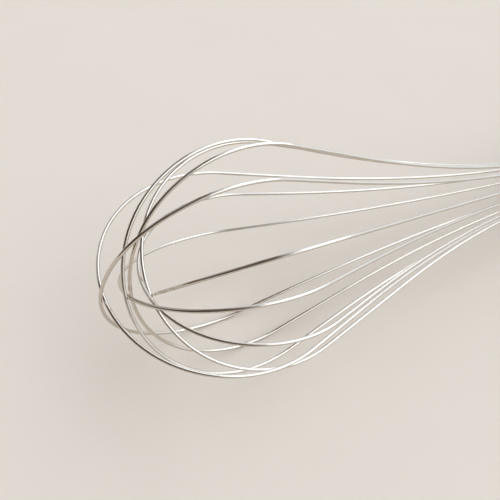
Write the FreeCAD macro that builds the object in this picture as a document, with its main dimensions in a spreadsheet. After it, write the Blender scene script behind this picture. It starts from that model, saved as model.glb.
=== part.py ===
"""Balloon whisk lying on a table: eight polished wire loops, a sealed steel handle
and a hanging ring that swings in an eye.

The whisk's own frame has its origin at the middle of the handle's mouth, +X towards
the end of the handle and the wire cage on the -X side. It is laid down in the part's
frame, which has +Z up and its origin under the middle of the whisk, on the table.
"""
import FreeCAD
import Part
import Sketcher
import math
import os

X_AXIS = FreeCAD.Vector(1, 0, 0)
Y_AXIS = FreeCAD.Vector(0, 1, 0)
Z_AXIS = FreeCAD.Vector(0, 0, 1)
NO_MOVE = FreeCAD.Vector(0, 0, 0)
NUT_SIDES = 6
DIRECTION_TOLERANCE = 0.01

# Driving dimensions in millimetres and degrees: alias, value, meaning.
SIZES = [
    ("wire", 1.2, "diameter of the cage wire"),
    ("leg_circle", 8.5, "radius of the circle that the legs stand on at the mouth"),
    ("leg_depth", 24.0, "length of each leg inside the handle"),
    ("leg_gap", 2.0, "space between the legs' ends and the cup's floor"),
    ("flare", 17.5, "angle at which the sides of a loop open"),
    ("shoulder_ratio", 1.10, "radius of a loop's shoulder over its half width"),
    ("tip_ratio", 0.98, "radius of a loop's tip over its half width"),
    ("mouth_radius", 9.6, "opening of the front collar's lip"),
    ("core_radius", 7.6, "radius of the core inside the legs"),
    ("core_dome", 1.5, "height of the core's domed face"),
    ("cup_bore", 9.5, "inner radius of the cup around the legs"),
    ("cup_wall", 0.6, "wall of the cup"),
    ("cup_floor", 1.2, "thickness of the cup's floor"),
    ("cup_front", 0.4, "distance of the cup's edge from the mouth"),
    ("potting_front", 1.0, "distance of the filler's face from the mouth"),
    ("tube_wall", 0.9, "wall of the handle tube"),
    ("tube_front", 11.1, "outer radius of the tube at the mouth"),
    ("tube_belly", 13.0, "outer radius of the tube at its thickest"),
    ("tube_rear", 11.0, "outer radius of the tube at its end"),
    ("belly_place", 72.0, "distance of the thickest place from the mouth"),
    ("tube_length", 118.0, "distance of the tube's end from the mouth"),
    ("tube_neck", 1.0, "straight stretch of the tube behind the collar"),
    ("collar_length", 15.0, "length of the front collar behind the mouth"),
    ("collar_wall", 1.1, "wall of the front collar"),
    ("collar_lip", 1.5, "length of the front collar ahead of the mouth"),
    ("collar_mouth", 1.0, "rounding of the front collar's opening"),
    ("collar_edge", 0.5, "rounding of the front collar's rear edge"),
    ("cap_rim", 11.3, "radius of the end cap's rim"),
    ("cap_rim_width", 1.6, "width of the end cap's rim"),
    ("cap_height", 5.0, "height of the end cap's dome behind the rim"),
    ("cap_skirt", 6.0, "depth of the end cap inside the tube"),
    ("cap_wall", 1.4, "wall of the end cap"),
    ("cap_crown", 2.8, "thickness of the end cap round its hole"),
    ("cap_flat", 1.6, "width of the flat round the end cap's hole"),
    ("cap_narrowing", 0.75, "radius inside the end cap, at its crown over at its mouth"),
    ("shank", 1.95, "radius of the eye's shank"),
    ("eye_radius", 4.8, "outer radius of the eye"),
    ("eye_hole", 2.1, "radius of the hole in the eye"),
    ("eye_width", 3.2, "thickness of the eye"),
    ("eye_round", 0.5, "rounding of the eye's edges"),
    ("eye_gap", 0.8, "space between the eye's round head and the end cap"),
    ("eye_bridge", 0.6, "metal between the eye's neck and its hole"),
    ("eye_shoulder", 1.2, "height and width of the shoulder on the end cap"),
    ("shank_tail", 1.2, "length of the shank beyond the nut"),
    ("shank_chamfer", 0.4, "chamfer at the shank's end"),
    ("nut_width", 7.0, "width of the nut across its flats"),
    ("nut_height", 3.2, "height of the nut"),
    ("washer_radius", 4.6, "radius of the washer"),
    ("washer_height", 1.0, "thickness of the washer"),
    ("ring_wire", 1.25, "radius of the hanging ring's wire"),
    ("ring_radius", 12.5, "radius of the hanging ring to the middle of its wire"),
    ("slip", 0.05, "clearance between pieces that are pushed together"),
]

# The loops from the innermost to the outermost. Each one nests over the last, and
# none is bent quite like another: its plane's angle round the axis from straight up,
# the distance of its tip from the mouth, half its width, and how far its tip leans
# out of its own plane.
LOOPS = [
    {"angle": 38.5, "reach": 206.5, "bulge": 40.0, "sway": 5.0},
    {"angle": 125.5, "reach": 208.0, "bulge": 40.5, "sway": 4.5},
    {"angle": 86.5, "reach": 209.5, "bulge": 37.5, "sway": 3.5},
    {"angle": -12.5, "reach": 214.5, "bulge": 40.0, "sway": 1.5},
    {"angle": 61.5, "reach": 216.5, "bulge": 38.0, "sway": 2.0},
    {"angle": -31.5, "reach": 217.5, "bulge": 39.0, "sway": 6.5},
    {"angle": 101.0, "reach": 222.5, "bulge": 40.5, "sway": 2.5},
    {"angle": 9.5, "reach": 224.0, "bulge": 40.0, "sway": 2.5},
]

# How the whisk lies: on two loops and the rim of its end cap, with the ring's far
# side let down on the table.
LYING = [
    ("lying_tilt", 5.54, "slope of the axis, down towards the handle's end"),
    ("lying_roll", 0.24, "turn about the axis that rests it on two loops"),
    ("ring_droop", 15.4, "angle of the ring below the whisk's axis"),
]


class Length:
    """A size that knows its value and the spreadsheet expression it comes from."""

    def __init__(self, value, text):
        self.value = value
        self.text = text

    def join(self, other, sign, value):
        return Length(value, "(%s %s %s)" % (self.text, sign, other.text))

    def __add__(self, other):
        other = as_length(other)
        return self.join(other, "+", self.value + other.value)

    def __sub__(self, other):
        other = as_length(other)
        return self.join(other, "-", self.value - other.value)

    def __mul__(self, other):
        other = as_length(other)
        return self.join(other, "*", self.value * other.value)

    def __truediv__(self, other):
        other = as_length(other)
        return self.join(other, "/", self.value / other.value)


def as_length(number):
    return number if isinstance(number, Length) else Length(float(number), repr(float(number)))


def make_sheet(doc):
    """Write the driving dimensions and return them by alias."""
    sheet = doc.addObject("Spreadsheet::Sheet", "sizes")
    rows = list(SIZES) + list(LYING)
    for number, loop in enumerate(LOOPS, start=1):
        for key in ("angle", "reach", "bulge", "sway"):
            rows.append(("%s_%d" % (key, number), loop[key], "%s of loop %d" % (key, number)))
    sizes = {}
    for row, (alias, value, meaning) in enumerate(rows, start=1):
        sheet.set("A%d" % row, str(value))
        sheet.setAlias("A%d" % row, alias)
        sheet.set("B%d" % row, meaning)
        sizes[alias] = Length(value, "sizes." + alias)
    doc.recompute()
    return sizes


def make_body(doc, label):
    body = doc.addObject("PartDesign::Body", label)
    body.Label = label
    return body


def make_sketch(body, name, role):
    """A sketch on one of the body's own origin planes."""
    plane = [item for item in body.Origin.OriginFeatures if item.Role == role][0]
    sketch = body.newObject("Sketcher::SketchObject", name)
    sketch.AttachmentSupport = [(plane, "")]
    sketch.MapMode = "FlatFace"
    return sketch


def bind(sketch, constraint, name, size):
    """Add a constraint whose value follows the spreadsheet."""
    index = sketch.addConstraint(constraint)
    sketch.renameConstraint(index, name)
    sketch.setExpression("Constraints." + name, size.text)


def place_point(sketch, edge, end, name, x, y):
    """Tie one end of an edge to a place measured from the sketch's origin."""
    for axis, size in (("X", x), ("Y", y)):
        rule = Sketcher.Constraint("Distance" + axis, -1, 1, edge, end, size.value)
        bind(sketch, rule, name + axis.lower(), size)


def arc_between(first, last, radius, turn):
    """Arc from first to last; turn +1 is anticlockwise, -1 clockwise."""
    chord = last - first
    half = chord.Length / 2
    rise = math.sqrt(max(radius * radius - half * half, 0))
    side = FreeCAD.Vector(-chord.y, chord.x, 0).normalize()
    centre = (first + last) * 0.5 + side * (rise * turn)
    circle = Part.Circle(centre, Z_AXIS, radius)
    start = math.atan2(first.y - centre.y, first.x - centre.x)
    stop = math.atan2(last.y - centre.y, last.x - centre.x)
    if turn > 0:
        return Part.ArcOfCircle(circle, start, stop), 1, 2
    return Part.ArcOfCircle(circle, stop, start), 2, 1


def draw_outline(sketch, corners, arcs=None):
    """Closed outline of lines, with arcs {corner number: (radius, turn)} where round."""
    arcs = arcs or {}
    count = len(corners)
    points = [FreeCAD.Vector(x.value, y.value, 0) for x, y in corners]
    ends = []
    for number in range(count):
        first, last = points[number], points[(number + 1) % count]
        if number in arcs:
            radius, turn = arcs[number]
            shape, first_end, last_end = arc_between(first, last, radius.value, turn)
        else:
            shape, first_end, last_end = Part.LineSegment(first, last), 1, 2
        edge = sketch.addGeometry(shape, False)
        ends.append((edge, first_end, last_end))
        if number in arcs:
            rule = Sketcher.Constraint("Radius", edge, radius.value)
            bind(sketch, rule, "round%d" % number, radius)
    for number, (x, y) in enumerate(corners):
        edge, first_end, _ = ends[number]
        before, _, before_end = ends[number - 1]
        sketch.addConstraint(Sketcher.Constraint("Coincident", before, before_end, edge, first_end))
        place_point(sketch, edge, first_end, "corner%d" % number, x, y)


def turned_body(doc, label, corners, arcs=None):
    """A piece turned about the whisk's axis from its outline in (x, radius)."""
    body = make_body(doc, label)
    sketch = make_sketch(body, label + "_outline", "XY_Plane")
    draw_outline(sketch, corners, arcs)
    turned = body.newObject("PartDesign::Revolution", label + "_turned")
    turned.Profile = sketch
    turned.ReferenceAxis = (sketch, ["H_Axis"])
    turned.Angle = 360.0
    sketch.Visibility = False
    return body


def loop_points(sizes, reach, bulge):
    """Ends and radii of the stretches on one side of a loop, from the mouth to its tip."""
    flare = math.radians(sizes["flare"].value)
    circle = sizes["leg_circle"].value
    shoulder = sizes["shoulder_ratio"].value * bulge
    tip = sizes["tip_ratio"].value * bulge
    tip_angle = math.asin((shoulder - bulge) / (shoulder - tip))
    rise = bulge - circle - shoulder * (1 - math.cos(flare))
    ahead = reach - tip * (1 - math.cos(tip_angle))
    run = ahead - shoulder * (math.cos(tip_angle) + math.sin(flare))
    side = rise / math.tan(flare / 2) - run
    bend = (run - side * math.cos(flare)) / math.sin(flare)
    bend_end = FreeCAD.Vector(-bend * math.sin(flare), circle + bend * (1 - math.cos(flare)), 0)
    shoulder_start = bend_end + FreeCAD.Vector(-math.cos(flare), math.sin(flare), 0) * side
    tip_start = FreeCAD.Vector(-ahead, tip * math.sin(tip_angle), 0)
    return {
        "mouth": FreeCAD.Vector(0, circle, 0),
        "bend_end": bend_end,
        "bend": bend,
        "shoulder_start": shoulder_start,
        "shoulder": shoulder,
        "tip_start": tip_start,
        "tip": tip,
    }


def mirrored(point):
    return FreeCAD.Vector(point.x, -point.y, 0)


def draw_loop_path(sketch, sizes, number):
    """Middle line of a loop: leg, bend, side, shoulder, tip, and back again."""
    reach = sizes["reach_%d" % number]
    bulge = sizes["bulge_%d" % number]
    depth = sizes["leg_depth"]
    place = loop_points(sizes, reach.value, bulge.value)
    leg_end = FreeCAD.Vector(depth.value, sizes["leg_circle"].value, 0)
    route = [leg_end, place["mouth"], place["bend_end"], place["shoulder_start"], place["tip_start"]]
    route += [mirrored(point) for point in reversed(route)]
    # radius and turn of each stretch; None is a straight stretch
    rounds = [None, (place["bend"], -1), None, (place["shoulder"], 1), (place["tip"], 1)]
    rounds += [(place["shoulder"], 1), None, (place["bend"], -1), None]
    ends = []
    for first, last, bent in zip(route[:-1], route[1:], rounds):
        if bent is None:
            shape, first_end, last_end = Part.LineSegment(first, last), 1, 2
        else:
            shape, first_end, last_end = arc_between(first, last, bent[0], bent[1])
        ends.append((sketch.addGeometry(shape, False), first_end, last_end))
    leg, bend, side, shoulder, tip, shoulder_2, side_2, bend_2, leg_2 = ends
    for (edge, _, out), (following, enter, _) in zip(ends[:-1], ends[1:]):
        sketch.addConstraint(Sketcher.Constraint("Tangent", edge, out, following, enter))
    sketch.addConstraint(Sketcher.Constraint("Horizontal", leg[0]))
    sketch.addConstraint(Sketcher.Constraint("PointOnObject", leg[0], leg[2], -2))
    place_point(sketch, leg[0], leg[1], "leg", depth, sizes["leg_circle"])
    steep = Length(math.pi - math.radians(sizes["flare"].value), "(180 - sizes.flare) * 1 deg")
    bind(sketch, Sketcher.Constraint("Angle", side[0], steep.value), "opening", steep)
    shoulder_size = sizes["shoulder_ratio"] * bulge
    tip_size = sizes["tip_ratio"] * bulge
    for name, edge, size in (("shoulder", shoulder[0], shoulder_size), ("tip", tip[0], tip_size)):
        bind(sketch, Sketcher.Constraint("Radius", edge, size.value), name, size)
    drop = shoulder_size - bulge
    bind(sketch, Sketcher.Constraint("DistanceY", shoulder[0], 3, -1, 1, drop.value), "width", drop)
    sketch.addConstraint(Sketcher.Constraint("PointOnObject", tip[0], 3, -1))
    ahead = reach - tip_size
    bind(sketch, Sketcher.Constraint("DistanceX", tip[0], 3, -1, 1, ahead.value), "reach", ahead)
    sketch.addConstraint(Sketcher.Constraint("Vertical", tip[0], 1, tip[0], 2))
    sketch.addConstraint(Sketcher.Constraint("Equal", shoulder[0], shoulder_2[0]))
    sketch.addConstraint(Sketcher.Constraint("Equal", side[0], side_2[0]))
    sketch.addConstraint(Sketcher.Constraint("Equal", bend[0], bend_2[0]))
    sketch.addConstraint(Sketcher.Constraint("PointOnObject", leg_2[0], leg_2[1], -2))
    sketch.addConstraint(Sketcher.Constraint("Equal", leg[0], leg_2[0]))
    sketch.addConstraint(Sketcher.Constraint("Horizontal", leg_2[0]))


def wire_loop(doc, sizes, number):
    """One loop of wire, drawn through its path."""
    body = make_body(doc, "wire_loop_%d" % number)
    path = make_sketch(body, "path_%d" % number, "XY_Plane")
    draw_loop_path(path, sizes, number)
    section = make_sketch(body, "section_%d" % number, "YZ_Plane")
    section.AttachmentOffset = FreeCAD.Placement(
        FreeCAD.Vector(0, 0, sizes["leg_depth"].value), FreeCAD.Rotation()
    )
    section.setExpression("AttachmentOffset.Base.z", sizes["leg_depth"].text)
    centre = FreeCAD.Vector(sizes["leg_circle"].value, 0, 0)
    radius = sizes["wire"] / 2
    edge = section.addGeometry(Part.Circle(centre, Z_AXIS, radius.value), False)
    bind(section, Sketcher.Constraint("Radius", edge, radius.value), "wire", radius)
    rule = Sketcher.Constraint("DistanceX", -1, 1, edge, 3, centre.x)
    bind(section, rule, "circle", sizes["leg_circle"])
    section.addConstraint(Sketcher.Constraint("PointOnObject", edge, 3, -1))
    doc.recompute()
    pipe = body.newObject("PartDesign::AdditivePipe", "drawn_%d" % number)
    pipe.Profile = section
    pipe.Spine = (path, ["Edge%d" % (index + 1) for index in range(path.GeometryCount)])
    pipe.Mode = "Standard"
    return body


def loop_turn(sizes, number):
    """How a loop's plane stands in the whisk's frame."""
    angle = sizes["angle_%d" % number].value
    sway = sizes["sway_%d" % number].value
    reach = sizes["reach_%d" % number].value
    lean = math.degrees(math.asin(sway / reach))
    about_axis = FreeCAD.Rotation(X_AXIS, angle + 90)
    return FreeCAD.Placement(NO_MOVE, about_axis * FreeCAD.Rotation(Y_AXIS, lean))


def core_plug(doc, sizes):
    """Steel core that the legs stand round, with a domed face in the mouth."""
    zero = as_length(0)
    radius = sizes["core_radius"]
    rear = sizes["leg_depth"] + sizes["leg_gap"]
    dome = sizes["core_dome"]
    corners = [
        (zero - dome, zero),
        (rear, zero),
        (rear, radius),
        (zero, radius),
    ]
    dome_radius = (radius * radius + dome * dome) / (dome * 2)
    return turned_body(doc, "core_plug", corners, {3: (dome_radius, 1)})


def wire_cup(doc, sizes):
    """Thin cup round the legs, closed behind them."""
    zero = as_length(0)
    front = sizes["cup_front"]
    floor = sizes["leg_depth"] + sizes["leg_gap"] + sizes["slip"]
    outer = sizes["cup_bore"] + sizes["cup_wall"]
    corners = [
        (floor, zero),
        (floor + sizes["cup_floor"], zero),
        (floor + sizes["cup_floor"], outer),
        (front, outer),
        (front, sizes["cup_bore"]),
        (floor, sizes["cup_bore"]),
    ]
    return turned_body(doc, "wire_cup", corners)


def potting(doc, sizes):
    """Hard filler that fixes the legs between the core and the cup."""
    inner = sizes["core_radius"] + sizes["slip"]
    outer = sizes["cup_bore"] - sizes["slip"]
    front = sizes["potting_front"]
    rear = sizes["leg_depth"] + sizes["leg_gap"]
    corners = [(front, inner), (rear, inner), (rear, outer), (front, outer)]
    blank = turned_body(doc, "potting_blank", corners)
    reamers = []
    for number in range(1, len(LOOPS) + 1):
        for side in (1, -1):
            reamer = doc.addObject("Part::Cylinder", "leg_hole")
            reamer.setExpression("Radius", "sizes.wire / 2 + sizes.slip / 2")
            reamer.setExpression("Height", sizes["leg_depth"].text + " + sizes.slip")
            along = FreeCAD.Placement(
                FreeCAD.Vector(0, side * sizes["leg_circle"].value, 0),
                FreeCAD.Rotation(Y_AXIS, 90),
            )
            reamer.Placement = loop_turn(sizes, number) * along
            reamers.append(reamer)
    tools = doc.addObject("Part::Compound", "leg_holes")
    tools.Links = reamers
    cut = doc.addObject("Part::Cut", "potting")
    cut.Base = blank
    cut.Tool = tools
    cut.Label = "potting"
    return cut


def front_collar(doc, sizes):
    """Collar over the tube's front end, with its lip turned in round the wires."""
    zero = as_length(0)
    bore = sizes["tube_front"] + sizes["slip"]
    outer = bore + sizes["collar_wall"]
    lip = sizes["collar_lip"]
    rim = sizes["collar_mouth"]
    edge = sizes["collar_edge"]
    corners = [
        (zero - lip, sizes["mouth_radius"] + rim),
        (rim - lip, sizes["mouth_radius"]),
        (zero, sizes["mouth_radius"]),
        (zero, bore),
        (sizes["collar_length"], bore),
        (sizes["collar_length"], outer - edge),
        (sizes["collar_length"] - edge, outer),
        (rim, outer),
    ]
    arcs = {0: (rim, 1), 5: (edge, 1), 7: (lip + rim, 1)}
    return turned_body(doc, "front_collar", corners, arcs)


def handle_tube(doc, sizes):
    """Thin tube with a gentle belly, open at both ends."""
    wall = sizes["tube_wall"]
    front = sizes["slip"]
    neck = sizes["collar_length"] + sizes["tube_neck"]
    belly = sizes["belly_place"]
    rear = sizes["tube_length"]
    # each stretch of the belly is an arc that is level at the thickest place
    rise = sizes["tube_belly"] - sizes["tube_front"]
    fall = sizes["tube_belly"] - sizes["tube_rear"]
    run = belly - neck
    run_2 = rear - belly
    swell = (run * run + rise * rise) / (rise * 2)
    taper = (run_2 * run_2 + fall * fall) / (fall * 2)
    corners = [
        (front, sizes["tube_front"]),
        (front, sizes["tube_front"] - wall),
        (neck, sizes["tube_front"] - wall),
        (belly, sizes["tube_belly"] - wall),
        (rear, sizes["tube_rear"] - wall),
        (rear, sizes["tube_rear"]),
        (belly, sizes["tube_belly"]),
        (neck, sizes["tube_front"]),
    ]
    arcs = {2: (swell, -1), 3: (taper, -1), 5: (taper, 1), 6: (swell, 1)}
    return turned_body(doc, "handle_tube", corners, arcs)


def end_cap(doc, sizes):
    """Domed cap pushed into the tube's end, with a hole for the eye's shank."""
    face = sizes["tube_length"] + sizes["slip"]
    skirt = sizes["tube_rear"] - sizes["tube_wall"] - sizes["slip"] * 2
    hole = sizes["shank"] + sizes["slip"]
    rim_back = face + sizes["cap_rim_width"]
    top = rim_back + sizes["cap_height"]
    crown = top - sizes["cap_crown"]
    flat = sizes["shank"] + sizes["cap_flat"]
    front = face - sizes["cap_skirt"]
    inner = skirt - sizes["cap_wall"]
    corners = [
        (front, inner),
        (crown, inner * sizes["cap_narrowing"]),
        (crown, hole),
        (top, hole),
        (top, flat),
        (rim_back, sizes["cap_rim"]),
        (face, sizes["cap_rim"]),
        (face, skirt),
        (front, skirt),
    ]
    rise = sizes["cap_rim"] - flat
    dome = (rise * rise + sizes["cap_height"] * sizes["cap_height"]) / (sizes["cap_height"] * 2)
    return turned_body(doc, "end_cap", corners, {4: (dome, 1)})


def cap_top(sizes):
    """Distance of the end cap's outer flat from the mouth."""
    return sizes["tube_length"] + sizes["slip"] + sizes["cap_rim_width"] + sizes["cap_height"]


def eye_place(sizes):
    """Distance of the eye's hole from the mouth."""
    return cap_top(sizes) + sizes["eye_radius"] + sizes["eye_gap"]


def nut_seat(sizes):
    """Distance of the inner face that the washer lies on from the mouth."""
    return cap_top(sizes) - sizes["cap_crown"]


def hanging_eye(doc, sizes):
    """Turned shank and shoulder with a flat, drilled head."""
    body = make_body(doc, "hanging_eye")
    zero = as_length(0)
    seat = cap_top(sizes) + sizes["slip"]
    tail = nut_seat(sizes) - sizes["washer_height"] - sizes["nut_height"] - sizes["shank_tail"]
    shoulder = sizes["shank"] + sizes["eye_shoulder"]
    bridge = eye_place(sizes) - sizes["eye_hole"] - sizes["eye_bridge"]
    chamfer = sizes["shank_chamfer"]
    corners = [
        (tail, zero),
        (bridge, zero),
        (bridge, sizes["eye_width"] / 2),
        (seat + sizes["eye_shoulder"], shoulder),
        (seat, shoulder),
        (seat, sizes["shank"]),
        (tail + chamfer, sizes["shank"]),
        (tail, sizes["shank"] - chamfer),
    ]
    sketch = make_sketch(body, "shank_outline", "XY_Plane")
    draw_outline(sketch, corners)
    shank = body.newObject("PartDesign::Revolution", "shank_turned")
    shank.Profile = sketch
    shank.ReferenceAxis = (sketch, ["H_Axis"])
    shank.Angle = 360.0
    head = make_sketch(body, "head_outline", "XZ_Plane")
    for name, size in (("head", sizes["eye_radius"]), ("hole", sizes["eye_hole"])):
        centre = FreeCAD.Vector(eye_place(sizes).value, 0, 0)
        circle = Part.Circle(centre, Z_AXIS, size.value)
        edge = head.addGeometry(circle, False)
        bind(head, Sketcher.Constraint("Radius", edge, size.value), name, size)
        rule = Sketcher.Constraint("DistanceX", -1, 1, edge, 3, centre.x)
        bind(head, rule, name + "_place", eye_place(sizes))
        head.addConstraint(Sketcher.Constraint("PointOnObject", edge, 3, -1))
    pad = body.newObject("PartDesign::Pad", "head_pad")
    pad.Profile = head
    pad.Midplane = True
    pad.setExpression("Length", sizes["eye_width"].text)
    doc.recompute()
    rims = []
    for index, edge in enumerate(pad.Shape.Edges, start=1):
        is_round = isinstance(edge.Curve, Part.Circle)
        if is_round and abs(abs(edge.Curve.Axis.y) - 1) < DIRECTION_TOLERANCE:
            rims.append("Edge%d" % index)
    fillet = body.newObject("PartDesign::Fillet", "head_rounding")
    fillet.Base = (pad, rims)
    fillet.setExpression("Radius", sizes["eye_round"].text)
    return body


def eye_washer(doc, sizes):
    """Washer between the end cap's crown and the nut."""
    back = nut_seat(sizes) - sizes["slip"]
    front = back - sizes["washer_height"] + sizes["slip"] * 2
    hole = sizes["shank"] + sizes["slip"] * 2
    outer = sizes["washer_radius"]
    corners = [(front, hole), (back, hole), (back, outer), (front, outer)]
    return turned_body(doc, "eye_washer", corners)


def eye_nut(doc, sizes):
    """Hexagonal nut on the shank, inside the cap."""
    body = make_body(doc, "eye_nut")
    sketch = make_sketch(body, "nut_outline", "YZ_Plane")
    start = nut_seat(sizes) - sizes["washer_height"] - sizes["nut_height"]
    sketch.setExpression("AttachmentOffset.Base.z", start.text)
    reach = sizes["nut_width"] / (2 * math.cos(math.pi / NUT_SIDES))
    corners = []
    for step in range(NUT_SIDES):
        turn = 2 * math.pi * step / NUT_SIDES
        corners.append((reach * math.cos(turn), reach * math.sin(turn)))
    draw_outline(sketch, corners)
    bore = sizes["shank"] + sizes["slip"]
    circle = Part.Circle(NO_MOVE, Z_AXIS, bore.value)
    hole = sketch.addGeometry(circle, False)
    sketch.addConstraint(Sketcher.Constraint("Coincident", hole, 3, -1, 1))
    bind(sketch, Sketcher.Constraint("Radius", hole, bore.value), "bore", bore)
    pad = body.newObject("PartDesign::Pad", "nut_pad")
    pad.Profile = sketch
    pad.setExpression("Length", "sizes.nut_height - sizes.slip")
    return body


def hanging_ring(doc, sizes):
    """Ring of thick wire, threaded through the eye."""
    ring = doc.addObject("Part::Torus", "hanging_ring")
    ring.Label = "hanging_ring"
    ring.setExpression("Radius1", sizes["ring_radius"].text)
    ring.setExpression("Radius2", sizes["ring_wire"].text)
    return ring


def ring_place(sizes):
    """The ring in the whisk's frame: its wire through the eye, its far side let down."""
    droop = FreeCAD.Rotation(Y_AXIS, sizes["ring_droop"].value)
    pivot = FreeCAD.Vector(eye_place(sizes).value, 0, 0)
    out = droop.multVec(X_AXIS) * sizes["ring_radius"].value
    return FreeCAD.Placement(pivot + out, droop)


def lowest(shapes):
    return min(shape.optimalBoundingBox(False).ZMin for shape in shapes)


def lay_down(doc, sizes, pieces):
    """Lay the whisk on the table, with the row's origin under its middle."""
    turn = FreeCAD.Rotation(Y_AXIS, sizes["lying_tilt"].value)
    turn = turn * FreeCAD.Rotation(X_AXIS, sizes["lying_roll"].value)
    lying = FreeCAD.Placement(NO_MOVE, turn)
    own = {piece.Label: piece.Placement for piece in pieces}
    for piece in pieces:
        piece.Placement = lying * own[piece.Label]
    doc.recompute()
    boxes = [piece.Shape.optimalBoundingBox(False) for piece in pieces]
    middle_x = (min(box.XMin for box in boxes) + max(box.XMax for box in boxes)) / 2
    middle_y = (min(box.YMin for box in boxes) + max(box.YMax for box in boxes)) / 2
    table = lowest([piece.Shape for piece in pieces])
    lift = FreeCAD.Placement(FreeCAD.Vector(-middle_x, -middle_y, -table), FreeCAD.Rotation())
    for piece in pieces:
        piece.Placement = lift * lying * own[piece.Label]
    doc.recompute()


def check(doc, pieces):
    for item in doc.Objects:
        bad = [word for word in item.State if word in ("Invalid", "Error")]
        if bad:
            raise RuntimeError("%s: %s" % (item.Label, bad))
    for piece in pieces:
        shape = piece.Shape
        if shape.isNull() or not shape.isValid() or not shape.Solids:
            raise RuntimeError("bad shape: " + piece.Label)


def main():
    doc = FreeCAD.newDocument("balloon_whisk")
    sizes = make_sheet(doc)
    pieces = []
    for number in range(1, len(LOOPS) + 1):
        loop = wire_loop(doc, sizes, number)
        loop.Placement = loop_turn(sizes, number)
        pieces.append(loop)
    for build in (core_plug, wire_cup, potting, front_collar, handle_tube, end_cap):
        pieces.append(build(doc, sizes))
    for build in (hanging_eye, eye_washer, eye_nut):
        pieces.append(build(doc, sizes))
    ring = hanging_ring(doc, sizes)
    ring.Placement = ring_place(sizes)
    pieces.append(ring)
    doc.recompute()
    lay_down(doc, sizes, pieces)
    check(doc, pieces)
    os.makedirs("parts", exist_ok=True)
    for piece in pieces:
        piece.Shape.exportStep("parts/%s.step" % piece.Label)
    return doc


main()
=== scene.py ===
"""Looks of the balloon whisk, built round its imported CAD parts.

The whisk lies on its side on a pale floor. +X runs along the handle to the hanging
ring, the wire cage is on the -X side, and the camera looks down from the -Y side.
Every size is in metres.
"""
import math

import bpy
from mathutils import Matrix, Vector


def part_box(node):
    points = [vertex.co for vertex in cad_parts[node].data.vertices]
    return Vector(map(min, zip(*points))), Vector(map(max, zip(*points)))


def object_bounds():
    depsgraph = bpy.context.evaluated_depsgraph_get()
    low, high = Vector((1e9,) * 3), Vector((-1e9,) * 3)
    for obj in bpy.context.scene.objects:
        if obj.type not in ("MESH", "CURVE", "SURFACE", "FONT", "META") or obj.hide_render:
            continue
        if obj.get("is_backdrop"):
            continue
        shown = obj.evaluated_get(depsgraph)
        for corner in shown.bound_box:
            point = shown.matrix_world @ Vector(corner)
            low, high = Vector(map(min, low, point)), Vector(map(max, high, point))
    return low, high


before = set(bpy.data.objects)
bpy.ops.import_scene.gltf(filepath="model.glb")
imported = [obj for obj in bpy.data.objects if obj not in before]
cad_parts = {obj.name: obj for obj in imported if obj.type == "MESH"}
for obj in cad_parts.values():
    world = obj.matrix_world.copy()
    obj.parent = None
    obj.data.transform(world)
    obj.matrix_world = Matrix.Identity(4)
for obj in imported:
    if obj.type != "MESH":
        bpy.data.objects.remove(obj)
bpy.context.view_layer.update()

UP = Vector((0.0, 0.0, 1.0))

# Which nodes share a look. The handle's tube and the filler have looks of their own.
WIRE_NODES = ["wire_loop_%d" % number for number in range(1, 9)] + ["hanging_ring"]
TRIM_NODES = ["front_collar", "end_cap", "hanging_eye"]
INNER_NODES = ["core_plug", "wire_cup", "eye_washer", "eye_nut"]

# Camera: where it looks, measured from the cage's tip and from the whisk's middle.
AIM_BEHIND_TIP = 0.0531
AIM_ASIDE = 0.0006
LOOK_DOWN = math.radians(46.3)
LOOK_ASIDE = math.radians(29.15)
CAMERA_ROLL = math.radians(4.06)
CAMERA_DISTANCE = 0.1927
LENS_MM = 40.57
SENSOR_MM = 36.0
NEAREST_SEEN = 0.01

# Soft lights: direction round from +X, height above the floor and width of the light
# (degrees), and its strength.
SOFT_LIGHTS = [
    ("front_light", -57.0, 38.0, 52.0, 0.70),
    ("right_light", -8.0, 56.0, 48.0, 0.46),
    ("back_light", 45.0, 46.0, 52.0, 0.30),
    ("far_light", 118.0, 33.0, 40.0, 0.22),
]
COOL_WHITE = (0.94, 1.0, 1.09)

# The room that the steel mirrors, from its dim left side to its bright right side.
ROOM_SIDES = [
    (0.0, (0.09, 0.066, 0.053, 1.0)),
    (0.42, (0.175, 0.14, 0.12, 1.0)),
    (0.64, (0.97, 1.05, 1.14, 1.0)),
    (1.0, (1.19, 1.28, 1.39, 1.0)),
]
BRIGHT_SIDE = Vector((0.985, -0.17, 0.0)).normalized()
BACKGROUND = (0.752, 0.703, 0.65, 1.0)

FLOOR_SIZE = 8.0
FLOOR_COLOUR = (0.855, 0.762, 0.655)
FLOOR_VARIATION = 0.03
FLOOR_ROUGHNESS = 0.85
FLOOR_SHINE = 0.2

WIRE_DARKER = (0.59, 0.546, 0.485)
WIRE_LIGHTER = (0.66, 0.61, 0.541)
RESIN_DARKER = (0.16, 0.155, 0.15)
RESIN_LIGHTER = (0.30, 0.29, 0.28)

# Turned steel: its lines along the axis and their waves round it (in noise cells), how
# deep they are, and how much the lines and the smears change the colour and roughness.
LINES_PER_METRE = 9000.0
WAVES_ROUND_AXIS = 1.5
LINE_DEPTH = 0.00002
LINE_SHADE = 0.9
LINE_ROUGHNESS = (0.7, 1.3)
SMEAR_ROUGHNESS = (0.75, 1.3)


def new_material(name):
    """A new material, its node tree and its shader."""
    material = bpy.data.materials.new(name)
    material.use_nodes = True
    tree = material.node_tree
    return material, tree, tree.nodes["Principled BSDF"]


def opaque(colour, factor=1.0):
    """A colour for a node's socket, made darker or lighter by a factor."""
    return tuple(value * factor for value in colour) + (1.0,)


def object_place(tree):
    """Place on the object, in metres in the whisk's own frame."""
    return tree.nodes.new("ShaderNodeTexCoord").outputs["Object"]


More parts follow.
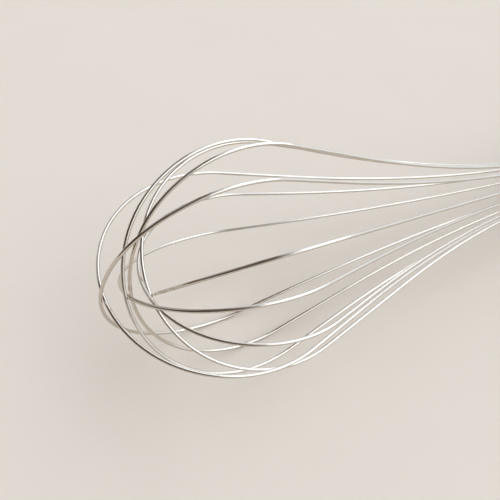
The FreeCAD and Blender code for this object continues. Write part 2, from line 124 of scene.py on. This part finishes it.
def math_node(tree, kind, operation, first, second):
    """A math node between two inputs, each another node's output or a fixed value."""
    node = tree.nodes.new(kind)
    node.operation = operation
    for socket, value in zip(node.inputs, (first, second)):
        if isinstance(value, bpy.types.NodeSocket):
            tree.links.new(value, socket)
        else:
            socket.default_value = value
    return node


def vector_math(tree, operation, first, second):
    return math_node(tree, "ShaderNodeVectorMath", operation, first, second)


def ranged(tree, source, low, high):
    """Spread a 0 to 1 value over low to high."""
    node = tree.nodes.new("ShaderNodeMapRange")
    node.inputs["To Min"].default_value = low
    node.inputs["To Max"].default_value = high
    tree.links.new(source, node.inputs["Value"])
    return node.outputs["Result"]


def noise(tree, place, scale, detail, roughness=0.5):
    """Cloudy 0 to 1 value with a number of noise cells per metre."""
    node = tree.nodes.new("ShaderNodeTexNoise")
    node.inputs["Scale"].default_value = scale
    node.inputs["Detail"].default_value = detail
    node.inputs["Roughness"].default_value = roughness
    tree.links.new(place, node.inputs["Vector"])
    return node.outputs["Fac"]


def colour_between(tree, shader, factor, darker, lighter):
    """Colour the shader between two shades by a 0 to 1 value."""
    node = tree.nodes.new("ShaderNodeMix")
    node.data_type = "RGBA"
    node.inputs["A"].default_value = darker
    node.inputs["B"].default_value = lighter
    tree.links.new(factor, node.inputs["Factor"])
    tree.links.new(node.outputs["Result"], shader.inputs["Base Color"])


def bump(tree, shader, height, strength, depth):
    """Make the surface look uneven by a 0 to 1 height."""
    node = tree.nodes.new("ShaderNodeBump")
    node.inputs["Strength"].default_value = strength
    node.inputs["Distance"].default_value = depth
    tree.links.new(height, node.inputs["Height"])
    tree.links.new(node.outputs["Normal"], shader.inputs["Normal"])


def whisk_axis():
    """Direction of the whisk's axis and a point on it, from the collar and the cap."""
    ends = []
    for name in ("front_collar", "end_cap"):
        low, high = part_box(name)
        ends.append((low + high) / 2)
    return (ends[1] - ends[0]).normalized(), ends[0]


def turned_lines(tree, place):
    """Fine lines that run round the whisk's axis, as a lathe or a polishing belt leaves."""
    direction, point = whisk_axis()
    offset = vector_math(tree, "SUBTRACT", place, point).outputs[0]
    distance = vector_math(tree, "DOT_PRODUCT", offset, direction).outputs["Value"]
    along = vector_math(tree, "MULTIPLY", distance, direction).outputs[0]
    outward = vector_math(tree, "SUBTRACT", offset, along).outputs[0]
    unit = tree.nodes.new("ShaderNodeVectorMath")
    unit.operation = "NORMALIZE"
    tree.links.new(outward, unit.inputs[0])
    lines = vector_math(tree, "MULTIPLY", distance, (LINES_PER_METRE, 0.0, 0.0)).outputs[0]
    waves = vector_math(tree, "MULTIPLY", unit.outputs[0], (WAVES_ROUND_AXIS,) * 3).outputs[0]
    cells = vector_math(tree, "ADD", lines, waves).outputs[0]
    return noise(tree, cells, scale=1.0, detail=4.0, roughness=0.65)


def polished_wire():
    """Bright drawn wire: slight waves and smears in a mirror-like shine."""
    material, tree, shader = new_material("polished_wire")
    place = object_place(tree)
    shader.inputs["Metallic"].default_value = 1.0
    smears = noise(tree, place, scale=90.0, detail=3.0)
    colour_between(tree, shader, smears, opaque(WIRE_DARKER), opaque(WIRE_LIGHTER))
    tree.links.new(ranged(tree, smears, low=0.03, high=0.10), shader.inputs["Roughness"])
    waves = noise(tree, place, scale=420.0, detail=2.0)
    bump(tree, shader, waves, strength=0.5, depth=0.00005)
    return material


def turned_steel(name, roughness, tint, line_strength):
    """Satin or polished steel with fine lines that run round the whisk's axis."""
    material, tree, shader = new_material(name)
    place = object_place(tree)
    shader.inputs["Metallic"].default_value = 1.0
    lines = turned_lines(tree, place)
    colour_between(tree, shader, lines, opaque(tint, LINE_SHADE), opaque(tint))
    smears = noise(tree, place, scale=55.0, detail=4.0, roughness=0.6)
    smear_change = ranged(tree, smears, *SMEAR_ROUGHNESS)
    line_change = ranged(tree, lines, *(roughness * change for change in LINE_ROUGHNESS))
    spread = math_node(tree, "ShaderNodeMath", "MULTIPLY", smear_change, line_change)
    tree.links.new(spread.outputs[0], shader.inputs["Roughness"])
    bump(tree, shader, lines, line_strength, LINE_DEPTH)
    return material


def cast_resin():
    """Grey filler: dull, faintly mottled, with tiny bubbles."""
    material, tree, shader = new_material("cast_resin")
    place = object_place(tree)
    mottle = noise(tree, place, scale=500.0, detail=4.0, roughness=0.6)
    colour_between(tree, shader, mottle, opaque(RESIN_DARKER), opaque(RESIN_LIGHTER))
    tree.links.new(ranged(tree, mottle, low=0.45, high=0.7), shader.inputs["Roughness"])
    bubbles = noise(tree, place, scale=2500.0, detail=3.0)
    bump(tree, shader, bubbles, strength=0.5, depth=0.0001)
    return material


def plain_floor():
    """Pale, matt, almost even surface."""
    material, tree, shader = new_material("pale_floor")
    mottle = noise(tree, object_place(tree), scale=14.0, detail=5.0, roughness=0.6)
    darker = opaque(FLOOR_COLOUR, 1.0 - FLOOR_VARIATION)
    lighter = opaque(FLOOR_COLOUR, 1.0 + FLOOR_VARIATION)
    colour_between(tree, shader, mottle, darker, lighter)
    shader.inputs["Roughness"].default_value = FLOOR_ROUGHNESS
    shader.inputs["Specular IOR Level"].default_value = FLOOR_SHINE
    return material


def wear(material, nodes):
    """Give CAD nodes a material."""
    for name in nodes:
        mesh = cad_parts[name].data
        mesh.materials.clear()
        mesh.materials.append(material)


def dress_nodes():
    """Give every CAD node its material."""
    satin = turned_steel("satin_tube", roughness=0.32, tint=(0.50, 0.49, 0.472), line_strength=0.4)
    bright = turned_steel("bright_trim", roughness=0.14, tint=(0.58, 0.568, 0.55), line_strength=0.1)
    plain = turned_steel("plain_steel", roughness=0.4, tint=(0.5, 0.495, 0.485), line_strength=0.5)
    wear(polished_wire(), WIRE_NODES)
    wear(satin, ["handle_tube"])
    wear(bright, TRIM_NODES)
    wear(plain, INNER_NODES)
    wear(cast_resin(), ["potting"])


def lay_floor():
    """A wide, plain floor under the whisk, which is not part of it."""
    bpy.ops.mesh.primitive_plane_add(size=FLOOR_SIZE)
    floor = bpy.context.object
    floor.name = "floor"
    floor.data.materials.append(plain_floor())
    floor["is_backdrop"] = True


def fill_room():
    """Soft light from all round: a bright side on the right, a dim one on the left."""
    world = bpy.data.worlds.new("room")
    bpy.context.scene.world = world
    world.use_nodes = True
    tree = world.node_tree
    towards = tree.nodes.new("ShaderNodeTexCoord").outputs["Generated"]
    to_right = vector_math(tree, "DOT_PRODUCT", towards, BRIGHT_SIDE).outputs["Value"]
    share = tree.nodes.new("ShaderNodeMapRange")
    share.inputs["From Min"].default_value = -1.0
    tree.links.new(to_right, share.inputs["Value"])
    ramp = tree.nodes.new("ShaderNodeValToRGB")
    ramp.color_ramp.interpolation = "EASE"
    sides = ramp.color_ramp.elements
    sides.remove(sides[1])
    sides[0].position, sides[0].color = ROOM_SIDES[0]
    for position, colour in ROOM_SIDES[1:]:
        sides.new(position).color = colour
    tree.links.new(share.outputs["Result"], ramp.inputs["Fac"])
    seen = tree.nodes.new("ShaderNodeMix")
    seen.data_type = "RGBA"
    seen.inputs["B"].default_value = BACKGROUND
    straight_on = tree.nodes.new("ShaderNodeLightPath").outputs["Is Camera Ray"]
    tree.links.new(ramp.outputs["Color"], seen.inputs["A"])
    tree.links.new(straight_on, seen.inputs["Factor"])
    tree.links.new(seen.outputs["Result"], tree.nodes["Background"].inputs["Color"])


def soft_light(name, aside, height, width, strength):
    """A wide, far light that falls evenly over the whole floor."""
    data = bpy.data.lights.new(name, "SUN")
    data.angle = width
    data.energy = strength
    data.color = COOL_WHITE
    lamp = bpy.data.objects.new(name, data)
    bpy.context.scene.collection.objects.link(lamp)
    flat = Vector((math.cos(aside), math.sin(aside), 0.0))
    towards = flat * math.cos(height) + UP * math.sin(height)
    lamp.location = towards
    lamp.rotation_euler = (-towards).to_track_quat("-Z", "Y").to_euler()


def set_camera():
    """The camera, aimed at the cage's head from above and in front."""
    data = bpy.data.cameras.new("camera")
    camera = bpy.data.objects.new("camera", data)
    bpy.context.scene.collection.objects.link(camera)
    bpy.context.scene.camera = camera
    data.lens = LENS_MM
    data.sensor_width = SENSOR_MM
    data.clip_start = NEAREST_SEEN
    low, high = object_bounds()
    aim = Vector((low.x + AIM_BEHIND_TIP, AIM_ASIDE, high.z / 2))
    flat = Vector((math.sin(LOOK_ASIDE), math.cos(LOOK_ASIDE), 0.0))
    forward = flat * math.cos(LOOK_DOWN) - UP * math.sin(LOOK_DOWN)
    level = forward.cross(UP).normalized()
    upright = level.cross(forward)
    right = level * math.cos(CAMERA_ROLL) + upright * math.sin(CAMERA_ROLL)
    top = upright * math.cos(CAMERA_ROLL) - level * math.sin(CAMERA_ROLL)
    turn = Matrix((right, top, -forward)).transposed().to_4x4()
    camera.matrix_world = Matrix.Translation(aim - forward * CAMERA_DISTANCE) @ turn


dress_nodes()
lay_floor()
fill_room()
for light, aside, height, width, strength in SOFT_LIGHTS:
    soft_light(light, math.radians(aside), math.radians(height), math.radians(width), strength)
set_camera()
bpy.context.scene.view_settings.view_transform = "Standard"
